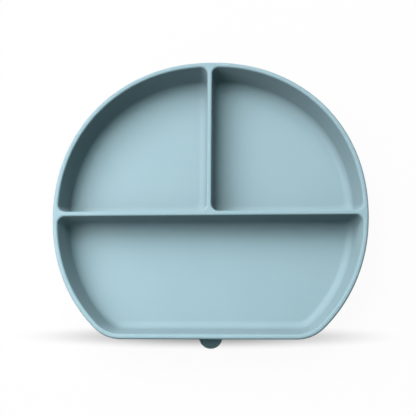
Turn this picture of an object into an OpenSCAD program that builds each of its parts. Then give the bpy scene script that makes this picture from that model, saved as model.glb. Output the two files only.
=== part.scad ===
// Divided plate for a small child, moulded in one piece from soft silicone.
// The plan is a round outline with a flat front edge. Two pockets lie at the back and a wide one
// in front, and a shallow suction base under the floor holds the plate to a table. A tongue on the
// base peels it off again. Lengths are in millimetres, angles in degrees.

/* [Outline] */
// Width of the plate at its widest
plate_width = 215; // [195:1:235]
// Distance from the widest line to the flat front edge
front_reach = 85.5; // [76:0.5:92]
// Squareness of the round outline, where 2 is a true circle
squareness = 2.1; // [2:0.01:2.3]
// Radius of the two front corners in plan
front_corner = 26; // [22:0.5:34]

/* [Wall] */
// Width of the rim at the top of the wall
rim_width = 3.2; // [2.6:0.1:4.5]
// Lean of the outer wall from upright
wall_draft = 15; // [8:0.5:18]
// Radius on the edges of the rim and the dividers
edge_round = 0.9; // [0.5:0.1:1.1]
// Thickness of the floor
floor_thick = 3; // [2:0.1:4.5]

/* [Pockets] */
// Depth of the pockets below the rim
pocket_depth = 22.5; // [16:0.5:26]
// Radius between the floor and the walls of a pocket
floor_round = 6.5; // [4:0.25:8]
// Radius in plan of the pocket corners beside the dividers
pocket_corner = 5.1; // [3:0.1:7]
// Width of the dividers at their top
divider_width = 3.1; // [2.6:0.1:5]
// Lean of the divider sides from upright
divider_draft = 4; // [2:0.5:8]
// Distance from the widest line back to the middle of the cross divider
divider_back = -0.5; // [-8:0.25:12]

/* [Suction base] */
// Diameter of the suction base over its lip
base_diameter = 142; // [120:1:146]
// Distance from the widest line back to the middle of the base
base_back = 5; // [0:0.5:10]
// Height of the plate's underside above the table
base_height = 4.5; // [4:0.25:7]
// Diameter of the neck that joins the base to the floor
neck_diameter = 112; // [90:1:114]
// Reach of the curve that blends the skirt of the base into the floor
neck_blend = 4; // [2:0.5:6]
// Thickness of the lip
lip_thick = 1.6; // [1.2:0.1:2]
// Width of the flat ring that meets the table
lip_seat = 3; // [2:0.25:5]
// Height of the hollow under the middle of the base
hollow_height = 2.6; // [1.5:0.1:3.4]

/* [Pull tab] */
// Width of the tab
tab_width = 16; // [11:0.5:20]
// Distance that the tab stands out past the front edge
tab_reach = 4.75; // [2:0.25:12]
// Thickness of the tab inside its border
tab_thick = 1.6; // [1.2:0.1:2]
// Width of the raised border round the tab
tab_border = 1.4; // [1:0.1:2.5]
// Height of the raised border above the tab
tab_bead = 0.6; // [0.3:0.1:1]
// Gap under the tab for a fingertip
tab_lift = 0.6; // [0.2:0.1:1]

/* [Hidden] */
$fn = 96;

silicone = "#a6c5cf";

// Normal angles of the straight sides
front_side = -90;
right_side = 0;
back_side = 90;
left_side = 180;

// Normal angle of the round side that lies past both corners of a back pocket
past_corner = 45;

// Steps of the curves
front_side_steps = 20;
back_side_steps = 30;
front_pocket_steps = 15;
back_pocket_steps = 30;
corner_steps = 6;
edge_steps = 3;
floor_steps = 6;
blend_steps = 4;
dome_steps = 8;
search_steps = 30;

// Depth that a cutting solid stands above the rim, and that a joined solid sinks into the floor
overrun = 1;

// Distance from the middle plane within which a point counts as lying on it
on_middle = 0.001;

plate_height = base_height + floor_thick + pocket_depth;
body_depth = floor_thick + pocket_depth;
underside_round = floor_round + floor_thick;
base_radius = base_diameter / 2;
neck_radius = neck_diameter / 2;
tab_radius = tab_width / 2;
tab_tip = front_reach + tab_reach;
tab_top = tab_lift + tab_thick + tab_bead;
back_divider_edge = divider_back + divider_width / 2;
front_divider_edge = divider_back - divider_width / 2;

// The tab starts where the skirt has risen over the tab's border. The place is known by its
// distance from the base's axis, and then from the widest line.
skirt_run = base_radius - lip_thick / 2 - neck_radius;
root_radius = neck_radius + skirt_run * (base_height - tab_top) / (base_height - lip_thick);
tab_root = sqrt(pow(root_radius, 2) - pow(tab_radius, 2)) - base_back;

// Middle of the whole plan, with the tab
middle_y = (plate_width / 2 - tab_tip) / 2;

function unit(angle) = [cos(angle), sin(angle)];

// Point of the round outline whose outward normal has this angle, moved inward by inset
function round_side(inset, angle) =
    let (
        power = 1 / (squareness - 1),
        across = pow(abs(cos(angle)), power),
        along = pow(abs(sin(angle)), power),
        reach = plate_width / 2 / pow(pow(across, squareness) + pow(along, squareness), 1 / squareness)
    )
    [sign(cos(angle)) * across, sign(sin(angle)) * along] * reach - inset * unit(angle);

// Normal angle at which a corner of this radius runs from the round side into a straight one.
// The straight side is known by its normal and its distance from the centre. The answer lies
// between the angles near and far, and halving closes in on it.
function meeting_angle(inset, radius, side, distance, near, far, left = search_steps) =
    let (
        middle = (near + far) / 2,
        past = round_side(inset + radius, middle) * unit(side) - (distance - radius)
    )
    left == 0 ? middle
    : past > 0 ? meeting_angle(inset, radius, side, distance, middle, far, left - 1)
    : meeting_angle(inset, radius, side, distance, near, middle, left - 1);

// Points of a corner about a centre, with both of its ends
function corner_points(centre, radius, from, to) =
    [for (i = [0:corner_steps]) centre + radius * unit(from + (to - from) * i / corner_steps)];

// Points of the round side between two normal angles, without its ends
function round_points(inset, from, to, steps) =
    [for (i = [1:steps - 1]) round_side(inset, from + (to - from) * i / steps)];

// A whole outline from its right half, which runs from the front to the back
function both_halves(half) =
    let (others = [for (i = [len(half) - 1:-1:0]) if (half[i][0] > on_middle) [-half[i][0], half[i][1]]])
    concat(half, others);

// Outline of the plate, moved inward by inset
function plate_outline(inset) =
    let (
        radius = front_corner - inset,
        front = front_reach - inset,
        joint = meeting_angle(inset, radius, front_side, front, front_side, right_side),
        centre = round_side(front_corner, joint)
    )
    both_halves(concat(
        corner_points(centre, radius, front_side, joint),
        round_points(inset, joint, right_side, front_side_steps),
        [round_side(inset, right_side)],
        round_points(inset, right_side, back_side, back_side_steps),
        [round_side(inset, back_side)]
    ));

// Outline of the front pocket, inside the wall by inset and inside the divider by side_inset
function front_pocket_outline(inset, side_inset) =
    let (
        front_radius = front_corner - inset,
        front = front_reach - inset,
        front_joint = meeting_angle(inset, front_radius, front_side, front, front_side, right_side),
        top = front_divider_edge - side_inset,
        back_joint = meeting_angle(inset, pocket_corner, back_side, top, back_side, front_joint),
        back_centre = round_side(inset + pocket_corner, back_joint)
    )
    both_halves(concat(
        corner_points(round_side(front_corner, front_joint), front_radius, front_side, front_joint),
        round_points(inset, front_joint, back_joint, front_pocket_steps),
        corner_points(back_centre, pocket_corner, back_joint, back_side)
    ));

// Outline of the right back pocket, with the same two insets
function back_pocket_outline(inset, side_inset) =
    let (
        front = back_divider_edge + side_inset,
        left = divider_width / 2 + side_inset,
        first_joint = meeting_angle(inset, pocket_corner, front_side, -front, front_side, past_corner),
        last_joint = meeting_angle(inset, pocket_corner, left_side, -left, left_side, past_corner),
        first_centre = round_side(inset + pocket_corner, first_joint),
        last_centre = round_side(inset + pocket_corner, last_joint),
        inner_centre = [left + pocket_corner, front + pocket_corner]
    )
    concat(
        corner_points(first_centre, pocket_corner, front_side, first_joint),
        round_points(inset, first_joint, last_joint, back_pocket_steps),
        corner_points(last_centre, pocket_corner, last_joint, left_side),
        corner_points(inner_centre, pocket_corner, left_side, left_side + 90)
    );

// Distance that a leaning wall has come in from its top edge at a depth, when a fillet of
// this radius carries it into a floor at the full depth
function wall_run(depth, draft, radius, full_depth) =
    let (
        foot = full_depth - radius * (1 - sin(draft)),
        turned = asin(min(1, (depth - foot) / radius + sin(draft)))
    )
    depth <= foot ? depth * tan(draft)
    : foot * tan(draft) + radius * (cos(draft) - cos(turned));

// Inset of a pocket's side from the sharp top edge, with the rounded edge at its mouth
function pocket_run(depth, draft) =
    let (start = -edge_round * tan((90 - draft) / 2))
    depth < edge_round * (1 - sin(draft)) ? start + edge_round * sin(acos(1 - depth / edge_round))
    : wall_run(depth, draft, floor_round, pocket_depth);

// Depths of a pocket's rings, from the rim down
pocket_depths = concat(
    [for (i = [0:edge_steps]) edge_round * (1 - cos((90 - wall_draft) * i / edge_steps))],
    [for (i = [0:floor_steps])
        pocket_depth - floor_round * (1 - sin(wall_draft + (90 - wall_draft) * i / floor_steps))]
);

// Depth and inset of the plate's outside, from the rim down: the rounded rim, the wall and the
// rounded edge under the floor
rim_turn = 90 + wall_draft;
outside_rings = concat(
    [for (i = [0:2 * edge_steps])
        let (turn = rim_turn * i / (2 * edge_steps))
        [edge_round * (1 - cos(turn)), edge_round * (1 - sin(turn))]],
    [for (i = [0:floor_steps])
        let (depth = body_depth - underside_round
            * (1 - sin(wall_draft + (90 - wall_draft) * i / floor_steps)))
        [depth, wall_run(depth, wall_draft, underside_round, body_depth)]]
);

// Closed solid skinned over rings of points that run counterclockwise, from the lowest ring up
module skin(rings) {
    count = len(rings[0]);
    top = len(rings) - 1;
    polyhedron(
        points = [for (ring = rings, point = ring) point],
        faces = concat(
            [[for (i = [0:count - 1]) i]],
            [for (row = [0:top - 1], i = [0:count - 1])
                let (j = (i + 1) % count, low = row * count, high = low + count)
                each [[low + i, high + i, high + j], [low + i, high + j, low + j]]],
            [[for (i = [count - 1:-1:0]) top * count + i]]
        )
    );
}

function at_height(outline, z) = [for (point = outline) [point[0], point[1], z]];

module solid_plate() {
    last = len(outside_rings) - 1;
    skin([for (i = [last:-1:0])
        at_height(plate_outline(outside_rings[i][1]), plate_height - outside_rings[i][0])]);
}

// Cutting solid of the front pocket or of the right back one, from the floor to above the rim
module pocket(is_front) {
    function ring(depth) =
        let (
            inset = rim_width + pocket_run(depth, wall_draft),
            side_inset = pocket_run(depth, divider_draft)
        )
        is_front ? front_pocket_outline(inset, side_inset) : back_pocket_outline(inset, side_inset);
    last = len(pocket_depths) - 1;
    skin(concat(
        [for (i = [last:-1:0]) at_height(ring(pocket_depths[i]), plate_height - pocket_depths[i])],
        [at_height(ring(0), plate_height + overrun)]
    ));
}

// Half section of the suction base: a shallow hollow underneath, a flat seat, a round lip, and a
// skirt that rises to the neck and blends into the floor
module base_section() {
    seat_outer = base_radius - lip_thick / 2;
    seat_inner = seat_outer - lip_seat;
    neck = [neck_radius, base_height];
    skirt = [seat_outer, lip_thick] - neck;
    on_skirt = neck + skirt * neck_blend / norm(skirt);
    on_floor = neck + [neck_blend, 0];
    polygon(concat(
        [for (i = [0:dome_steps])
            let (r = seat_inner * i / dome_steps)
            [r, hollow_height * (1 - pow(r / seat_inner, 2))]],
        [for (i = [0:edge_steps * 2])
            [seat_outer, lip_thick / 2] + lip_thick / 2 * unit(-90 + 180 * i / (edge_steps * 2))],
        [for (i = [0:blend_steps])
            let (share = i / blend_steps)
            on_skirt * pow(1 - share, 2) + neck * 2 * share * (1 - share) + on_floor * pow(share, 2)],
        [on_floor + [0, overrun], [0, base_height + overrun]]
    ));
}

module suction_base() {
    translate([0, base_back, 0])
        rotate_extrude()
            base_section();
}

// Plan of the tab's tongue, from under the skirt to its round tip
module tongue(inset) {
    translate([0, tab_radius - tab_tip]) {
        circle(tab_radius - inset);
        translate([inset - tab_radius, 0])
            square([tab_width - 2 * inset, tab_tip - tab_radius - tab_root]);
    }
}

module pull_tab() {
    translate([0, 0, tab_lift]) {
        linear_extrude(tab_thick)
            tongue(0);
        linear_extrude(tab_thick + tab_bead)
            difference() {
                tongue(0);
                tongue(tab_border);
            }
    }
}

module plate() {
    color(silicone)
        translate([0, -middle_y, 0]) {
            difference() {
                solid_plate();
                pocket(is_front = true);
                pocket(is_front = false);
                mirror([1, 0, 0])
                    pocket(is_front = false);
            }
            suction_base();
            pull_tab();
        }
}

plate();
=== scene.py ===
"""Divided silicone plate: the dressed model, its studio and its camera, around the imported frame."""
import logging
import math
from collections.abc import Callable
from dataclasses import dataclass, field
from enum import Enum

import bmesh
import bpy
from mathutils import Matrix, Vector


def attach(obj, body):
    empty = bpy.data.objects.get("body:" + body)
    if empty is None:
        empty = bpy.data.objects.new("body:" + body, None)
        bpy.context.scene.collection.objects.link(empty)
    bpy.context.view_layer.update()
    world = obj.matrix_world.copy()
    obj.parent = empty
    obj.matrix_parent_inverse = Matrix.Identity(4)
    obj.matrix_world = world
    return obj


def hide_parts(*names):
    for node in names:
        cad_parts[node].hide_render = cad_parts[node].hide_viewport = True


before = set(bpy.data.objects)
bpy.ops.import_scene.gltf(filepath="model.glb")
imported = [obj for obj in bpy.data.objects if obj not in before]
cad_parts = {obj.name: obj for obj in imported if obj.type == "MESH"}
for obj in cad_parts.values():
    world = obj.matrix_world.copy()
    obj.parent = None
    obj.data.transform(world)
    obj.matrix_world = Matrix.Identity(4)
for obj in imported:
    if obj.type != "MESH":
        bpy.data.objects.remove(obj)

logging.basicConfig(level=logging.INFO, format="%(message)s")
LOG = logging.getLogger("plate")

MM = 0.001
BODY = "root"
NODE = "plate"
RIGHT_ANGLE = 90.0

# Points that are less than this apart, in millimetres, are one point.
SAME_PLACE = 0.001

Ring = list[Vector]
Verts = list[bmesh.types.BMVert]
Edges = list[bmesh.types.BMEdge]


class Side(Enum):
    """Outward normal of a straight side of the plan, in degrees."""

    FRONT = -90.0
    BACK = 90.0
    LEFT = 180.0


def unit(angle: float) -> Vector:
    """Returns the unit vector of the plan at an angle in degrees."""
    turn = math.radians(angle)
    return Vector((math.cos(turn), math.sin(turn)))


def between(start: float, end: float, share: float) -> float:
    """Returns the value at a share of the way from start to end."""
    return start + (end - start) * share


def loop_edges(verts: Verts) -> Edges:
    """Returns the edges of a closed loop from its vertices in order."""
    pairs = zip(verts, verts[1:] + verts[:1])
    return [next(e for e in a.link_edges if e.other_vert(a) is b) for a, b in pairs]


def linear(hex_colour: str) -> tuple[float, float, float, float]:
    """Turns an sRGB hex colour into linear light.

    Args:
        hex_colour: Colour such as "#a9c9d3".

    Returns:
        Red, green, blue and an alpha of 1.
    """
    parts = [int(hex_colour[i:i + 2], 16) / 255 for i in (1, 3, 5)]
    return (*[p / 12.92 if p <= 0.04045 else ((p + 0.055) / 1.055) ** 2.4 for p in parts], 1.0)


def add_node(
    tree: bpy.types.NodeTree,
    kind: str,
    links: dict[str | int, object] | None = None,
    **settings: object,
) -> bpy.types.Node:
    """Adds a node with its settings, its values and its incoming links.

    Args:
        tree: Node tree that takes the node.
        kind: Blender's name for the kind of node.
        links: For each input, by name or number, an output socket or a plain value.
        **settings: Properties of the node.

    Returns:
        The new node.
    """
    node = tree.nodes.new(kind)
    for name, value in settings.items():
        setattr(node, name, value)
    for name, value in (links or {}).items():
        if isinstance(value, bpy.types.NodeSocket):
            tree.links.new(value, node.inputs[name])
        else:
            node.inputs[name].default_value = value
    return node


def seen_rays(tree: bpy.types.NodeTree) -> bpy.types.NodeSocket:
    """Marks the rays by which the background is seen: the camera's, and those of gloss and glass.

    Args:
        tree: Node tree of the paper or of the world.

    Returns:
        Socket that is 1 for these rays and 0 for the light that falls on the plate.
    """
    rays = add_node(tree, "ShaderNodeLightPath").outputs
    shine = add_node(tree, "ShaderNodeMath", {
        0: rays["Is Glossy Ray"], 1: rays["Is Transmission Ray"],
    }, operation="MAXIMUM")
    seen = add_node(tree, "ShaderNodeMath", {
        0: rays["Is Camera Ray"], 1: shine.outputs[0],
    }, operation="MAXIMUM")
    return seen.outputs[0]


@dataclass
class PlatePlan:
    """Plan of the plate: a nearly round outline with a flat front.

    Lengths are in millimetres and angles in degrees. squareness is the exponent of the round
    outline, which at 2 is a circle, and past_corners is a normal angle of the round side between
    the two outer corners of a back pocket.
    """

    width: float = 215.0
    front_reach: float = 85.5
    squareness: float = 2.1
    front_corner: float = 26.0
    rim_width: float = 3.2
    pocket_corner: float = 5.1
    divider_width: float = 3.1
    divider_back: float = -0.5
    past_corners: float = 45.0
    plate_steps: int = 80
    front_steps: int = 30
    back_steps: int = 60
    corner_steps: int = 12
    search_steps: int = 40

    def round_side(self, inset: float, angle: float) -> Vector:
        """Finds a point of the round outline by the angle of its outward normal.

        Args:
            inset: Distance that the point is moved inward.
            angle: Normal angle in degrees.

        Returns:
            The point in the plan.
        """
        normal = unit(angle)
        power = 1 / (self.squareness - 1)
        across, along = abs(normal.x) ** power, abs(normal.y) ** power
        reach = self.width / 2 / (across**self.squareness + along**self.squareness) ** (1 / self.squareness)
        place = Vector((math.copysign(across, normal.x), math.copysign(along, normal.y)))
        return place * reach - normal * inset

    def meeting_angle(self, inset: float, radius: float, side: Side, distance: float, far: float) -> float:
        """Finds where a corner of this radius runs from the round side into a straight side.

        Args:
            inset: Distance that the round side is moved inward.
            radius: Radius of the corner.
            side: The straight side.
            distance: Distance of the straight side from the centre.
            far: Normal angle that is past the corner.

        Returns:
            Normal angle of the round side at the corner.
        """
        near = side.value
        for _ in range(self.search_steps):
            middle = (near + far) / 2
            centre = self.round_side(inset + radius, middle)
            if centre.dot(unit(side.value)) > distance - radius:
                near = middle
            else:
                far = middle
        return (near + far) / 2

    def corner(self, centre: Vector, radius: float, start: float, end: float) -> Ring:
        """Returns the points of a corner about a centre, with both of its ends."""
        steps = self.corner_steps
        return [centre + unit(between(start, end, i / steps)) * radius for i in range(steps + 1)]

    def round_part(self, inset: float, start: float, end: float, steps: int) -> Ring:
        """Returns the points of the round side between two normal angles, without its ends."""
        return [self.round_side(inset, between(start, end, i / steps)) for i in range(1, steps)]

    def mirrored(self, half: Ring) -> Ring:
        """Returns a whole outline from its right half, which runs from the front to the back."""
        others = [Vector((-p.x, p.y)) for p in reversed(half) if p.x > SAME_PLACE]
        return half + others

    def front_corner_points(self, inset: float) -> tuple[Ring, float]:
        """Finds the right front corner.

        Args:
            inset: Distance inside the plate's outline.

        Returns:
            The corner's points and the normal angle at its end.
        """
        radius = self.front_corner - inset
        joint = self.meeting_angle(inset, radius, Side.FRONT, self.front_reach - inset, 0.0)
        centre = self.round_side(self.front_corner, joint)
        return self.corner(centre, radius, Side.FRONT.value, joint), joint

    def outline(self, inset: float) -> Ring:
        """Finds the outline of the whole plate.

        Args:
            inset: Distance inside the widest outline.

        Returns:
            Closed outline, counterclockwise.
        """
        corner, joint = self.front_corner_points(inset)
        sides = self.round_part(inset, joint, Side.BACK.value, self.plate_steps)
        return self.mirrored(corner + sides + [self.round_side(inset, Side.BACK.value)])

    def front_pocket(self, inset: float, side_inset: float) -> Ring:
        """Finds the outline of the front pocket.

        Args:
            inset: Distance inside the plate's outline.
            side_inset: Distance inside the edge of the cross divider.

        Returns:
            Closed outline, counterclockwise.
        """
        corner, joint = self.front_corner_points(inset)
        back = self.divider_back - self.divider_width / 2 - side_inset
        end = self.meeting_angle(inset, self.pocket_corner, Side.BACK, back, joint)
        sides = self.round_part(inset, joint, end, self.front_steps)
        centre = self.round_side(inset + self.pocket_corner, end)
        back_corner = self.corner(centre, self.pocket_corner, end, Side.BACK.value)
        return self.mirrored(corner + sides + back_corner)

    def back_pocket(self, inset: float, side_inset: float) -> Ring:
        """Finds the outline of the right back pocket.

        Args:
            inset: Distance inside the plate's outline.
            side_inset: Distance inside the edges of the two dividers.

        Returns:
            Closed outline, counterclockwise.
        """
        radius = self.pocket_corner
        front = self.divider_back + self.divider_width / 2 + side_inset
        left = self.divider_width / 2 + side_inset
        start = self.meeting_angle(inset, radius, Side.FRONT, -front, self.past_corners)
        end = self.meeting_angle(inset, radius, Side.LEFT, -left, self.past_corners)
        front_centre = self.round_side(inset + radius, start)
        back_centre = self.round_side(inset + radius, end)
        inner_centre = Vector((left + radius, front + radius))
        return (
            self.corner(front_centre, radius, Side.FRONT.value, start)
            + self.round_part(inset, start, end, self.back_steps)
            + self.corner(back_centre, radius, end, Side.LEFT.value)
            + self.corner(inner_centre, radius, Side.LEFT.value, Side.LEFT.value + RIGHT_ANGLE)
        )


@dataclass
class PlateBody:
    """The drafted wall, the rim, the floor and the three pockets.

    Lengths are in millimetres and leans in degrees. The crowns of the rim and the dividers are
    rounder than in the part's source, as the shading across them in the photograph asks.
    """

    plan: PlatePlan = field(default_factory=PlatePlan)
    wall_draft: float = 15.0
    divider_draft: float = 4.0
    edge_round: float = 1.4
    divider_round: float = 1.1
    floor_thick: float = 3.0
    pocket_depth: float = 22.5
    floor_round: float = 6.5
    base_height: float = 4.5
    flat_margin: float = 0.12
    edge_steps: int = 7
    wall_steps: int = 6
    floor_steps: int = 14

    @property
    def height(self) -> float:
        """Returns the height of the rim above the table."""
        return self.base_height + self.floor_thick + self.pocket_depth

    def wall_run(self, depth: float, draft: float, radius: float, full_depth: float) -> float:
        """Finds how far a leaning wall has come in from its top edge.

        Args:
            depth: Depth below the top edge.
            draft: Lean from upright in degrees.
            radius: Radius of the fillet at the foot.
            full_depth: Depth of the floor that the fillet ends in.

        Returns:
            Distance inward.
        """
        lean = math.radians(draft)
        foot = full_depth - radius * (1 - math.sin(lean))
        if depth <= foot:
            return depth * math.tan(lean)
        turned = math.asin(min(1.0, (depth - foot) / radius + math.sin(lean)))
        return foot * math.tan(lean) + radius * (math.cos(lean) - math.cos(turned))

    def pocket_run(self, depth: float, draft: float, radius: float) -> float:
        """Finds how far a pocket's side has come in, from its rounded mouth to the floor.

        Args:
            depth: Depth below the rim.
            draft: Lean from upright in degrees.
            radius: Radius of the rounded edge at the mouth.

        Returns:
            Distance inward from the side's edge before it was rounded.
        """
        if depth < radius * (1 - math.sin(math.radians(draft))):
            start = -radius * math.tan(math.radians((RIGHT_ANGLE - draft) / 2))
            return start + radius * math.sin(math.acos(1 - depth / radius))
        return self.wall_run(depth, draft, self.floor_round, self.pocket_depth)

    def depth_steps(self, radius: float, full_depth: float, first: float) -> list[float]:
        """Lists the depths of the rings down a wall and round the fillet at its foot.

        Args:
            radius: Radius of the fillet.
            full_depth: Depth at which the fillet ends.
            first: Depth at which the straight part of the wall starts.

        Returns:
            Depths from the start of the wall down, without the first.
        """
        lean = math.radians(self.wall_draft)
        foot = full_depth - radius * (1 - math.sin(lean))
        walls = [between(first, foot, i / self.wall_steps) for i in range(1, self.wall_steps)]
        turns = [between(lean, math.pi / 2, i / self.floor_steps) for i in range(self.floor_steps + 1)]
        return walls + [full_depth - radius * (1 - math.sin(turn)) for turn in turns]

    def outside_profile(self) -> list[tuple[float, float]]:
        """Lists the rings of the outside, from the rim's flat down.

        Returns:
            Depth and inset of each ring.
        """
        radius = self.edge_round
        turn_steps = 2 * self.edge_steps
        full_turn = math.radians(RIGHT_ANGLE + self.wall_draft)
        turns = [full_turn * i / turn_steps for i in range(turn_steps + 1)]
        rings = [(radius * (1 - math.cos(turn)), radius * (1 - math.sin(turn))) for turn in turns]
        full_depth = self.floor_thick + self.pocket_depth
        under_round = self.floor_round + self.floor_thick
        for depth in self.depth_steps(under_round, full_depth, rings[-1][0]):
            rings.append((depth, self.wall_run(depth, self.wall_draft, under_round, full_depth)))
        return rings

    def pocket_profile(self) -> list[tuple[float, float, float]]:
        """Lists the rings of a pocket, from its mouth down.

        Returns:
            Depth, wall inset and divider inset of each ring.
        """
        steps = self.edge_steps
        lean = math.radians(RIGHT_ANGLE - self.wall_draft)
        edge = [self.edge_round * (1 - math.cos(lean * i / steps)) for i in range(steps + 1)]
        rings = []
        for depth in edge + self.depth_steps(self.floor_round, self.pocket_depth, edge[-1]):
            wall = self.pocket_run(depth, self.wall_draft, self.edge_round)
            divider = self.pocket_run(depth, self.divider_draft, self.divider_round)
            rings.append((depth, self.plan.rim_width + wall, divider))
        return rings

    def first_ring(self, bm: bmesh.types.BMesh, ring: Ring, height: float) -> Verts:
        """Lays a closed loop of edges on a ring of points.

        Args:
            bm: Mesh that takes the loop.
            ring: Points of the plan, counterclockwise.
            height: Height of the loop.

        Returns:
            The loop's vertices in order.
        """
        made = bmesh.ops.create_circle(bm, segments=len(ring), radius=self.plan.width / 2)
        verts = made["verts"]
        for vert, point in zip(verts, ring):
            vert.co = (point.x, point.y, height)
        return verts

    def next_ring(self, bm: bmesh.types.BMesh, verts: Verts, ring: Ring, height: float) -> Verts:
        """Extrudes a closed loop and lays the new loop on the next ring of points.

        Args:
            bm: Mesh that holds the loop.
            verts: The loop's vertices in order.
            ring: As many points of the plan.
            height: Height of the new loop.

        Returns:
            The new loop's vertices in order.
        """
        made = bmesh.ops.extrude_edge_only(bm, edges=loop_edges(verts))
        new = {item for item in made["geom"] if isinstance(item, bmesh.types.BMVert)}
        moved = []
        for vert, point in zip(verts, ring):
            twin = next(other for edge in vert.link_edges if (other := edge.other_vert(vert)) in new)
            twin.co = (point.x, point.y, height)
            moved.append(twin)
        return moved

    def outside(self, bm: bmesh.types.BMesh) -> tuple[Edges, Edges]:
        """Builds the rim's outer edge, the wall and the rounded edge under the floor.

        Args:
            bm: Mesh that takes the faces.

        Returns:
            Edges of the loop on the rim's flat and of the loop on the flat underside.
        """
        rings = self.outside_profile()
        top_depth, top_inset = rings[0]
        top = self.first_ring(bm, self.plan.outline(top_inset), self.height - top_depth)
        verts = top
        for depth, inset in rings[1:]:
            verts = self.next_ring(bm, verts, self.plan.outline(inset), self.height - depth)
        under = self.next_ring(bm, verts, self.plan.outline(inset + self.flat_margin), self.base_height)
        flat = self.next_ring(bm, top, self.plan.outline(top_inset + self.flat_margin), self.height)
        return loop_edges(flat), loop_edges(under)

    def pocket(
        self,
        bm: bmesh.types.BMesh,
        outline: Callable[[float, float], Ring],
        turned: bool = False,
    ) -> Edges:
        """Builds one pocket from its rounded mouth to its flat floor.

        Args:
            bm: Mesh that takes the faces.
            outline: Method of the plan that gives the pocket's outline.
            turned: True for the copy on the left of the plate.

        Returns:
            Edges of the loop on the rim's flat.
        """
        def ring(inset: float, side_inset: float) -> Ring:
            """Returns the pocket's outline, turned over for the left one."""
            points = outline(inset, side_inset)
            return [Vector((-p.x, p.y)) for p in reversed(points)] if turned else points

        rings = self.pocket_profile()
        _, mouth_inset, mouth_side = rings[0]
        mouth = self.first_ring(bm, ring(mouth_inset, mouth_side), self.height)
        verts = mouth
        for depth, inset, side in rings[1:]:
            verts = self.next_ring(bm, verts, ring(inset, side), self.height - depth)
        margin = self.flat_margin
        floor = self.next_ring(bm, verts, ring(inset + margin, side + margin), self.height - depth)
        bmesh.ops.contextual_create(bm, geom=loop_edges(floor))
        flat = self.next_ring(bm, mouth, ring(mouth_inset - margin, mouth_side - margin), self.height)
        return loop_edges(flat)

    def build(self, bm: bmesh.types.BMesh, neck: Edges) -> None:
        """Builds the whole body onto the suction base's neck.

        Args:
            bm: Mesh that takes the faces.
            neck: Edges of the loop at which the base's neck meets the flat underside.
        """
        top, under = self.outside(bm)
        mouths = [
            self.pocket(bm, self.plan.front_pocket),
            self.pocket(bm, self.plan.back_pocket),
            self.pocket(bm, self.plan.back_pocket, turned=True),
        ]
        rim = top + [edge for mouth in mouths for edge in mouth]
        bmesh.ops.triangle_fill(
            bm, use_beauty=True, use_dissolve=False, edges=rim, normal=(0, 0, 1),
        )
        bmesh.ops.triangle_fill(
            bm, use_beauty=True, use_dissolve=False, edges=under + neck, normal=(0, 0, -1),
        )


@dataclass
class SuctionBase:
    """The shallow cup under the floor, turned round its axis.

    Lengths are in millimetres. back is how far its axis lies behind the plate's centre.
    """

    diameter: float = 142.0
    back: float = 5.0
    height: float = 4.5
    neck_diameter: float = 112.0
    neck_blend: float = 4.0
    lip_thick: float = 1.6
    lip_seat: float = 3.0
    hollow_height: float = 2.6
    flat_margin: float = 0.12
    blend_steps: int = 6
    skirt_steps: int = 6
    lip_steps: int = 12
    dome_steps: int = 14
    turn_steps: int = 180

    def section(self) -> list[tuple[float, float]]:
        """Lists the half section from the flat underside, round the lip, to the middle.

        Returns:
            Distances from the axis and heights.
        """
        radius = self.lip_thick / 2
        seat_outer = self.diameter / 2 - radius
        seat_inner = seat_outer - self.lip_seat
        corner = Vector((self.neck_diameter / 2, self.height))
        lip = Vector((seat_outer, self.lip_thick))
        on_floor = corner + Vector((self.neck_blend, 0))
        on_skirt = corner + (lip - corner).normalized() * self.neck_blend
        points = [tuple(on_floor + Vector((self.flat_margin, 0)))]
        for i in range(self.blend_steps + 1):
            share = i / self.blend_steps
            points.append(tuple(on_floor.lerp(corner, share).lerp(corner.lerp(on_skirt, share), share)))
        points += [tuple(on_skirt.lerp(lip, i / self.skirt_steps)) for i in range(1, self.skirt_steps)]
        for i in range(self.lip_steps + 1):
            turn = math.pi / 2 - math.pi * i / self.lip_steps
            points.append((seat_outer + radius * math.cos(turn), radius + radius * math.sin(turn)))
        for i in range(self.dome_steps + 1):
            share = 1 - i / self.dome_steps
            points.append((seat_inner * share, self.hollow_height * (1 - share**2)))
        return points

    def build(self, bm: bmesh.types.BMesh) -> Edges:
        """Spins the section round the base's axis.

        Args:
            bm: Mesh that takes the faces.

        Returns:
            Edges of the open loop at which the neck meets the floor.
        """
        verts = [bm.verts.new((distance, self.back, height)) for distance, height in self.section()]
        edges = [bm.edges.new(pair) for pair in zip(verts, verts[1:])]
        bmesh.ops.spin(
            bm, geom=verts + edges, cent=(0, self.back, 0), axis=(0, 0, 1), dvec=(0, 0, 0),
            angle=2 * math.pi, steps=self.turn_steps, use_merge=True, use_duplicate=False,
        )
        bmesh.ops.remove_doubles(bm, verts=bm.verts, dist=SAME_PLACE)
        return [edge for edge in bm.edges if edge.is_boundary]


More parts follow.
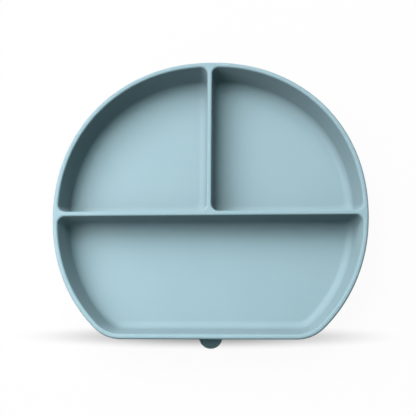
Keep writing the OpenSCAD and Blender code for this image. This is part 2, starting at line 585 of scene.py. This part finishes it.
@dataclass
class PullTab:
    """The tongue on the base's lip that peels it off the table.

    Lengths are in millimetres. tip and root lie this far in front of the plate's centre, and
    skin_gap holds the skin of the tip inside the part's box.
    """

    width: float = 16.0
    tip: float = 90.25
    root: float = 58.82
    skin_gap: float = 0.03
    lift: float = 0.6
    thick: float = 1.6
    border: float = 1.4
    bead: float = 0.6
    edge_round: float = 0.35
    edge_steps: int = 3
    tip_steps: int = 28

    def build(self) -> bmesh.types.BMesh:
        """Extrudes the tongue, rounds its edges and sinks its middle.

        Returns:
            A closed mesh of its own.
        """
        bm = bmesh.new()
        radius = self.width / 2
        middle = radius - self.tip + self.skin_gap
        turns = [math.pi * (1 + i / self.tip_steps) for i in range(self.tip_steps + 1)]
        points = [(radius * math.cos(turn), middle + radius * math.sin(turn)) for turn in turns]
        points += [(radius, -self.root), (-radius, -self.root)]
        face = bm.faces.new([bm.verts.new((x, y, self.lift)) for x, y in points])
        made = bmesh.ops.extrude_face_region(bm, geom=[face])
        top = [item for item in made["geom"] if isinstance(item, bmesh.types.BMVert)]
        bmesh.ops.translate(bm, verts=top, vec=(0, 0, self.thick + self.bead))
        bmesh.ops.recalc_face_normals(bm, faces=bm.faces)
        bm.normal_update()
        level = [e for e in bm.edges if abs(e.verts[0].co.z - e.verts[1].co.z) < SAME_PLACE]
        bmesh.ops.bevel(
            bm, geom=level, offset=self.edge_round, offset_type="OFFSET", affect="EDGES",
            segments=self.edge_steps, profile=0.5, material=-1,
        )
        lid = max(bm.faces, key=lambda item: item.calc_center_median().z)
        bmesh.ops.inset_region(
            bm, faces=[lid], thickness=self.border - self.edge_round, use_even_offset=True,
        )
        bmesh.ops.inset_region(
            bm, faces=[lid], thickness=self.edge_round, depth=-self.bead, use_even_offset=True,
        )
        return bm


@dataclass(frozen=True)
class MouldedSilicone:
    """Food-grade silicone rubber, compression moulded in a sand-blasted steel tool.

    The eye gets a matte, faintly waxy blue grey with a soft broad sheen and no clear reflection.
    Lengths are in millimetres.
    """

    name: str = "moulded_silicone_matte"
    colour: str = "#a9c9d3"
    deep_colour: str = "#a4c4cf"
    roughness: float = 0.6
    roughness_swing: float = 0.05
    ior: float = 1.41
    scatter: float = 0.12
    scatter_radius: tuple[float, float, float] = (0.6, 1.0, 1.1)
    sheen: float = 0.03
    sheen_roughness: float = 0.4
    cloud: float = 35.0
    cloud_detail: float = 3.0
    cloud_roughness: float = 0.5
    # The tool's grit, about 0.05 mm, is too fine to show, so the grain is as coarse as it needs to be.
    grain: float = 1.4
    grain_detail: float = 2.0
    grain_roughness: float = 0.6
    grain_height: float = 0.05
    bump: float = 0.3

    def build(self) -> bpy.types.Material:
        """Makes the node material.

        Returns:
            The new material.
        """
        material = bpy.data.materials.new(self.name)
        material.use_nodes = True
        tree = material.node_tree
        tree.nodes.clear()
        place = add_node(tree, "ShaderNodeTexCoord").outputs["Object"]
        clouds = add_node(tree, "ShaderNodeTexNoise", {
            "Vector": place,
            "Scale": 1 / (self.cloud * MM),
            "Detail": self.cloud_detail,
            "Roughness": self.cloud_roughness,
        })
        colour = add_node(tree, "ShaderNodeMix", {
            0: clouds.outputs["Fac"], 6: linear(self.deep_colour), 7: linear(self.colour),
        }, data_type="RGBA")
        grain = add_node(tree, "ShaderNodeTexNoise", {
            "Vector": place,
            "Scale": 1 / (self.grain * MM),
            "Detail": self.grain_detail,
            "Roughness": self.grain_roughness,
        })
        rough = add_node(tree, "ShaderNodeMapRange", {
            "Value": grain.outputs["Fac"],
            "To Min": self.roughness - self.roughness_swing,
            "To Max": self.roughness + self.roughness_swing,
        })
        bump = add_node(tree, "ShaderNodeBump", {
            "Height": grain.outputs["Fac"], "Strength": self.bump, "Distance": self.grain_height * MM,
        })
        shader = add_node(tree, "ShaderNodeBsdfPrincipled", {
            "Base Color": colour.outputs[2],
            "Roughness": rough.outputs["Result"],
            "IOR": self.ior,
            "Normal": bump.outputs["Normal"],
            "Subsurface Weight": self.scatter,
            "Subsurface Radius": self.scatter_radius,
            "Subsurface Scale": MM,
            "Sheen Weight": self.sheen,
            "Sheen Roughness": self.sheen_roughness,
        })
        add_node(tree, "ShaderNodeOutputMaterial", {"Surface": shader.outputs["BSDF"]})
        return material


@dataclass(frozen=True)
class PaperSweep:
    """Uncoated white studio paper with a soft grey shadow painted along the plate's front edge.

    The eye gets plain white, because the camera sees the paper lifted, with the plate's shadow
    left faint on it. From below the paper is clear. Lengths are in millimetres.
    """

    name: str = "studio_paper_white"
    colour: str = "#f4f4f4"
    lift: float = 0.955
    # The next three values draw a painted shadow: a soft grey band on the paper along the plate's front
    # edge, with its strength, its middle and its reach in millimetres.
    painted_shade: float = 0.70
    painted_shade_middle: tuple[float, float, float] = (-3.0, -90.5, 0.0)
    painted_shade_reach: tuple[float, float, float] = (140.0, 9.4, 1.0)

    def build(self) -> bpy.types.Material:
        """Makes the node material.

        Returns:
            The new material.
        """
        material = bpy.data.materials.new(self.name)
        material.use_nodes = True
        tree = material.node_tree
        tree.nodes.clear()
        paper = add_node(tree, "ShaderNodeBsdfDiffuse", {"Color": linear(self.colour)})
        place = add_node(tree, "ShaderNodeTexCoord").outputs["Object"]
        # Painted shadow: the glow dims in a soft band along the plate's front edge and is full white
        # elsewhere.
        middle = Vector(self.painted_shade_middle) * MM
        reach = Vector(self.painted_shade_reach) * MM
        away = add_node(tree, "ShaderNodeVectorMath", {0: place, 1: middle}, operation="SUBTRACT")
        share = add_node(tree, "ShaderNodeVectorMath", {0: away.outputs[0], 1: reach}, operation="DIVIDE")
        length = add_node(tree, "ShaderNodeVectorMath", {0: share.outputs[0]}, operation="LENGTH")
        white = add_node(tree, "ShaderNodeMapRange", {
            "Value": length.outputs["Value"], "To Min": 1 - self.painted_shade, "To Max": 1.0,
        }, interpolation_type="SMOOTHSTEP")
        glow = add_node(tree, "ShaderNodeEmission", {"Strength": white.outputs["Result"]})
        lift = add_node(tree, "ShaderNodeMath", {0: seen_rays(tree), 1: self.lift}, operation="MULTIPLY")
        front = add_node(tree, "ShaderNodeMixShader", {
            0: lift.outputs[0], 1: paper.outputs[0], 2: glow.outputs[0],
        })
        below = add_node(tree, "ShaderNodeNewGeometry").outputs["Backfacing"]
        clear = add_node(tree, "ShaderNodeBsdfTransparent")
        both = add_node(tree, "ShaderNodeMixShader", {
            0: below, 1: front.outputs[0], 2: clear.outputs[0],
        })
        add_node(tree, "ShaderNodeOutputMaterial", {"Surface": both.outputs[0]})
        return material


@dataclass
class DressedPlate:
    """The one piece of the object: body, base and tab in one closed skin.

    crease is the angle in degrees past which an edge between faces stays sharp.
    """

    body: PlateBody = field(default_factory=PlateBody)
    base: SuctionBase = field(default_factory=SuctionBase)
    tab: PullTab = field(default_factory=PullTab)
    finish: MouldedSilicone = field(default_factory=MouldedSilicone)
    name: str = "plate_skin"
    crease: float = 40.0

    @property
    def middle(self) -> float:
        """Returns how far behind the plate's centre its middle from back to tab lies, in millimetres."""
        return (self.body.plan.width / 2 - self.tab.tip) / 2

    def to_object(self, bm: bmesh.types.BMesh, name: str) -> bpy.types.Object:
        """Turns a mesh in plan millimetres into an object in the frame's metres.

        Args:
            bm: Closed mesh, which is freed.
            name: Name of the object.

        Returns:
            The new object.
        """
        bmesh.ops.remove_doubles(bm, verts=bm.verts, dist=SAME_PLACE)
        bmesh.ops.recalc_face_normals(bm, faces=bm.faces)
        to_frame = Matrix.Scale(MM, 4) @ Matrix.Translation((0, -self.middle, 0))
        bmesh.ops.transform(bm, matrix=to_frame, verts=bm.verts)
        mesh = bpy.data.meshes.new(name)
        bm.to_mesh(mesh)
        bm.free()
        made = bpy.data.objects.new(name, mesh)
        bpy.context.scene.collection.objects.link(made)
        return made

    def joined(self, first: bpy.types.Object, second: bpy.types.Object) -> None:
        """Melts the second object into the first, so that both have one skin.

        Args:
            first: Object that stays.
            second: Object that goes.
        """
        union = first.modifiers.new("union", "BOOLEAN")
        union.operation = "UNION"
        union.solver = "EXACT"
        union.object = second
        graph = bpy.context.evaluated_depsgraph_get()
        mesh = bpy.data.meshes.new_from_object(first.evaluated_get(graph))
        first.modifiers.clear()
        first.data = mesh
        bpy.data.objects.remove(second)

    def build(self) -> bpy.types.Object:
        """Builds, joins and dresses the plate.

        Returns:
            The finished object.
        """
        bm = bmesh.new()
        neck = self.base.build(bm)
        self.body.build(bm, neck)
        made = self.to_object(bm, self.name)
        self.joined(made, self.to_object(self.tab.build(), "tab_tongue"))
        made.data.shade_smooth()
        made.data.set_sharp_from_angle(angle=math.radians(self.crease))
        made.data.materials.clear()
        made.data.materials.append(self.finish.build())
        return made


@dataclass
class Softbox:
    """A soft area light that looks at the plate and that the camera doesn't see.

    The tint is an sRGB hex colour. Lengths are in metres, angles in degrees, the power in watts.
    """

    name: str
    tint: str
    azimuth: float
    elevation: float
    distance: float
    width: float
    height: float
    power: float

    def build(self) -> None:
        """Hangs the lamp at its distance and turns it to face the plate."""
        lamp = bpy.data.lights.new(self.name, "AREA")
        lamp.shape = "RECTANGLE"
        lamp.size = self.width
        lamp.size_y = self.height
        lamp.energy = self.power
        lamp.color = linear(self.tint)[:3]
        made = bpy.data.objects.new(self.name, lamp)
        climb = math.radians(self.elevation)
        flat = unit(self.azimuth) * math.cos(climb)
        place = Vector((flat.x, flat.y, math.sin(climb))) * self.distance
        made.visible_camera = False
        made.location = place
        made.rotation_euler = place.to_track_quat("Z", "Y").to_euler()
        bpy.context.scene.collection.objects.link(made)


@dataclass
class Studio:
    """White paper, soft lamps and a dim even room.

    Light that bounces between surfaces is off, and the bluish fill and front cards stand for it.
    The last card lights the underside through the paper, for a look from below. The floor's size
    is in metres.
    """

    paper: PaperSweep = field(default_factory=PaperSweep)
    lamps: tuple[Softbox, ...] = (
        Softbox(
            "key_softbox", "#fffcfc",
            azimuth=130, elevation=52, distance=1.6, width=2.0, height=1.4, power=35.2,
        ),
        Softbox(
            "left_softbox", "#ffffff",
            azimuth=195, elevation=40, distance=0.22, width=0.12, height=0.12, power=0.063,
        ),
        Softbox(
            "fill_card", "#c6ffff",
            azimuth=60, elevation=64, distance=1.0, width=0.5, height=0.5, power=0.75,
        ),
        Softbox(
            "front_card", "#d2ffff",
            azimuth=275, elevation=50, distance=0.2, width=0.1, height=0.1, power=0.024,
        ),
        Softbox(
            "under_card", "#ffffff",
            azimuth=0, elevation=-90, distance=0.8, width=0.6, height=0.6, power=3.0,
        ),
    )
    room_colour: str = "#ffffff"
    room: float = 0.01
    bounces: int = 0
    floor_size: float = 6.0

    def lay_paper(self) -> None:
        """Lays the paper under the plate, where it takes the plate's shadow and lets light up."""
        bm = bmesh.new()
        bmesh.ops.create_grid(bm, x_segments=1, y_segments=1, size=self.floor_size / 2)
        mesh = bpy.data.meshes.new("studio_paper")
        bm.to_mesh(mesh)
        bm.free()
        paper = bpy.data.objects.new("studio_paper", mesh)
        mesh.materials.append(self.paper.build())
        bpy.context.scene.collection.objects.link(paper)
        paper.visible_shadow = False

    def light_room(self) -> None:
        """Makes the world, which is dim for the plate and white for the rays that see it."""
        world = bpy.data.worlds.new("studio_room")
        bpy.context.scene.world = world
        world.use_nodes = True
        tree = world.node_tree
        tree.nodes.clear()
        level = add_node(tree, "ShaderNodeMapRange", {
            "Value": seen_rays(tree), "To Min": self.room, "To Max": 1.0,
        })
        glow = add_node(tree, "ShaderNodeBackground", {
            "Color": linear(self.room_colour), "Strength": level.outputs["Result"],
        })
        add_node(tree, "ShaderNodeOutputWorld", {"Surface": glow.outputs[0]})

    def build(self) -> None:
        """Lays the paper, hangs the lamps and lights the room."""
        self.lay_paper()
        for lamp in self.lamps:
            lamp.build()
        bpy.context.scene.cycles.diffuse_bounces = self.bounces
        self.light_room()


@dataclass
class PhotoCamera:
    """Camera at the photograph's viewing angle, which looks down on the plate.

    The pixel values are those of the photograph's square frame. Lengths are in millimetres and the
    roll in degrees. The two leans are how far the camera moves right and back for each unit up.
    """

    distance: float = 620.0
    lean_right: float = 0.07
    lean_back: float = -0.21
    roll: float = -0.4
    focal_pixels: float = 914.4
    middle_across: float = 208.8
    middle_down: float = 212.1
    frame_pixels: float = 416.0
    sensor: float = 36.0

    def build(self, rim_middle: Vector) -> None:
        """Makes the scene's camera.

        Args:
            rim_middle: Middle of the round outline on the rim's plane, in metres.
        """
        back = Vector((self.lean_right, self.lean_back, 1)).normalized()
        tilt = math.radians(self.roll)
        up = Vector((math.sin(tilt), math.cos(tilt), 0))
        up = (up - back * up.dot(back)).normalized()
        right = up.cross(back)
        scale = self.distance / self.focal_pixels
        centre = self.frame_pixels / 2
        aside = (self.middle_across - centre) * scale
        above = -(self.middle_down - centre) * scale
        data = bpy.data.cameras.new("photo_camera")
        data.sensor_width = self.sensor
        data.lens = self.focal_pixels / self.frame_pixels * self.sensor
        made = bpy.data.objects.new("photo_camera", data)
        made.location = rim_middle + (back * self.distance - right * aside - up * above) * MM
        made.rotation_euler = Matrix((right, up, back)).transposed().to_euler()
        bpy.context.scene.collection.objects.link(made)
        bpy.context.scene.camera = made


def main() -> None:
    """Builds the dressed plate, its studio and its camera."""
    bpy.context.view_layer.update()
    bpy.context.scene.view_settings.view_transform = "Standard"
    plate = DressedPlate()
    made = plate.build()
    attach(made, BODY)
    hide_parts(NODE)
    LOG.info("%s: %d faces", made.name, len(made.data.polygons))
    studio = Studio()
    studio.build()
    LOG.info("studio: paper and %d lamps", len(studio.lamps))
    PhotoCamera().build(Vector((0, -plate.middle, plate.body.height)) * MM)


if __name__ == "__main__":
    main()
